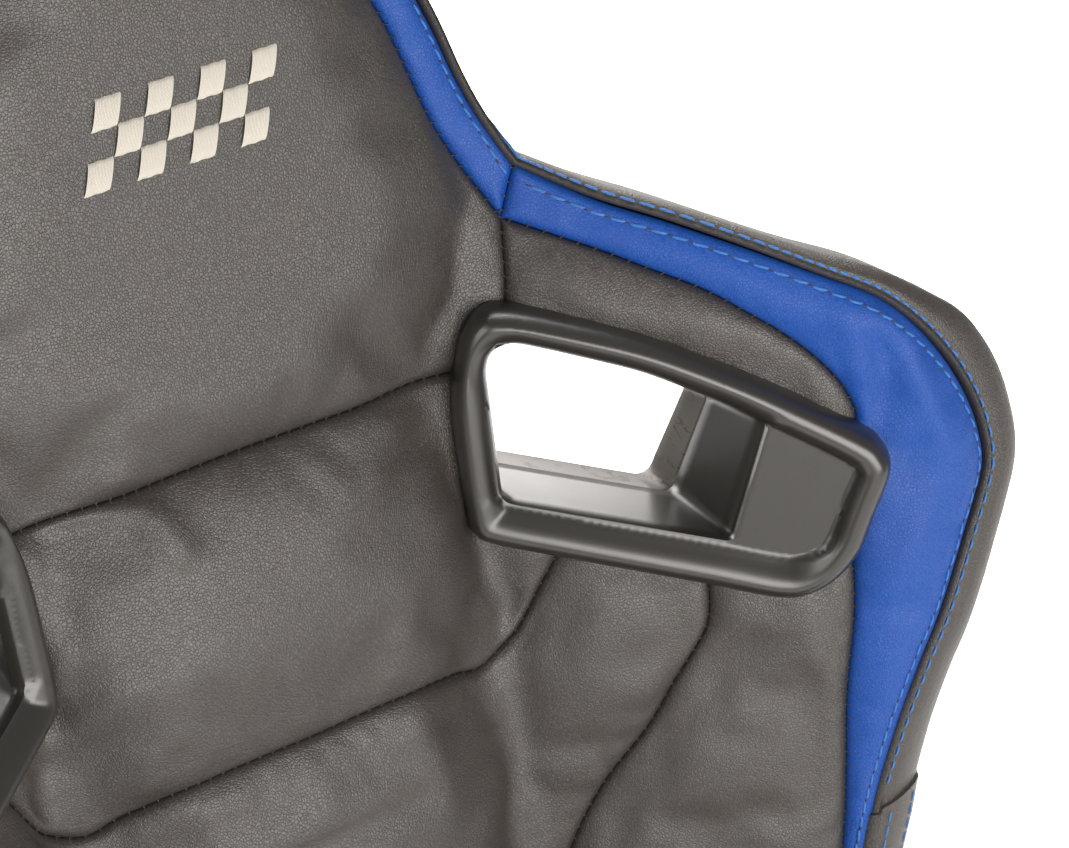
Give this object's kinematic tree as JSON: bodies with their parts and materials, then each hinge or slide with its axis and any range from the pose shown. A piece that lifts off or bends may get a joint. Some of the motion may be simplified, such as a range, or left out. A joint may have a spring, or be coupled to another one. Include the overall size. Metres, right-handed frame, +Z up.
{
  "type": "racing seat",
  "caption": "Reclining half-shell racing seat with winged bolsters, two moulded harness guides, integral head section, side levers and sliding floor rails.",
  "frame": {"origin": "on the floor under the middle of the seat's box, with the slide in mid travel and the back leaning 14 degrees", "axes": "+Z up; the seat faces -Y; +X is to the right of someone who looks at the seat's front"},
  "size_m": [0.5264, 0.77, 1.0021],
  "materials": {
    "black_leatherette": "fine-grained black artificial leather, semi-matt",
    "blue_leatherette": "fine-grained royal blue artificial leather, semi-matt",
    "black_plastic": "satin moulded black plastic",
    "frame_paint": "black powder coat",
    "zinc_plate": "bright zinc plate",
    "spring_steel": "dark oiled spring steel",
    "nylon": "natural nylon"
  },
  "bodies": {
    "rails": {"lower_rail_right": "zinc_plate", "lower_rail_left": "zinc_plate"},
    "seat": {"upper_rail_right": "zinc_plate", "upper_rail_left": "zinc_plate", "glide_front_right": "nylon", "glide_front_left": "nylon", "glide_rear_right": "nylon", "glide_rear_left": "nylon", "side_frame_right": "frame_paint", "side_frame_left": "frame_paint", "latch_bracket_right": "frame_paint", "latch_bracket_left": "frame_paint", "cross_tube_front": "frame_paint", "cross_tube_rear": "frame_paint", "seat_pan": "frame_paint", "cushion_centre": "black_leatherette", "cushion_front_roll": "black_leatherette", "cushion_bolster_right": "black_leatherette", "cushion_bolster_left": "black_leatherette", "cushion_band_right": "blue_leatherette", "cushion_band_left": "blue_leatherette", "recliner_fixed_disc_right": "zinc_plate", "recliner_fixed_disc_left": "zinc_plate", "recline_spring_right": "spring_steel", "recline_spring_left": "spring_steel", "side_cover_right": "black_plastic", "side_cover_left": "black_plastic"},
    "recline_lever": {"sync_rod": "zinc_plate", "lever_hub_right": "black_plastic", "lever_hub_left": "black_plastic", "recline_lever_right": "black_plastic", "recline_lever_left": "black_plastic"},
    "release_bar": {"slide_release_bar": "frame_paint", "lock_plate_right": "zinc_plate", "lock_plate_left": "zinc_plate"},
    "backrest": {"back_frame": "frame_paint", "cross_tube_shoulder": "frame_paint", "cross_tube_waist": "frame_paint", "support_wire_upper": "spring_steel", "support_wire_lower": "spring_steel", "rear_cover": "black_leatherette", "head_pad": "black_leatherette", "mid_back_pad": "black_leatherette", "lumbar_pad": "black_leatherette", "back_bracket_right": "frame_paint", "back_bracket_left": "frame_paint", "recliner_moving_disc_right": "zinc_plate", "recliner_moving_disc_left": "zinc_plate", "head_band_right": "blue_leatherette", "head_band_left": "blue_leatherette", "shoulder_pad_right": "black_leatherette", "shoulder_pad_left": "black_leatherette", "wing_band_right": "blue_leatherette", "wing_band_left": "blue_leatherette", "side_bolster_right": "black_leatherette", "side_bolster_left": "black_leatherette", "harness_guide_front_right": "black_plastic", "harness_guide_front_left": "black_plastic", "harness_guide_rear_right": "black_plastic", "harness_guide_rear_left": "black_plastic"}
  },
  "joints": [
    {"name": "seat_slide", "type": "slide", "parent": "rails", "child": "seat", "axis": [0, -1, 0], "range_m": [-0.11, 0.11]},
    {"name": "backrest_recline", "type": "hinge", "parent": "seat", "child": "backrest", "pos_m": [0, 0.1374, 0.19], "axis": [1, 0, 0], "range_deg": [-55, 30]},
    {"name": "recline_release", "type": "hinge", "parent": "seat", "child": "recline_lever", "pos_m": [0, 0.1374, 0.19], "axis": [-1, 0, 0], "range_deg": [0, 35], "stiffness_Nm_per_rad": 1.5, "springref_deg": -20.05},
    {"name": "slide_release", "type": "hinge", "parent": "seat", "child": "release_bar", "pos_m": [0, -0.0486, 0.024], "axis": [-1, 0, 0], "range_deg": [0, 7], "stiffness_Nm_per_rad": 8, "springref_deg": -8.59}
  ]
}
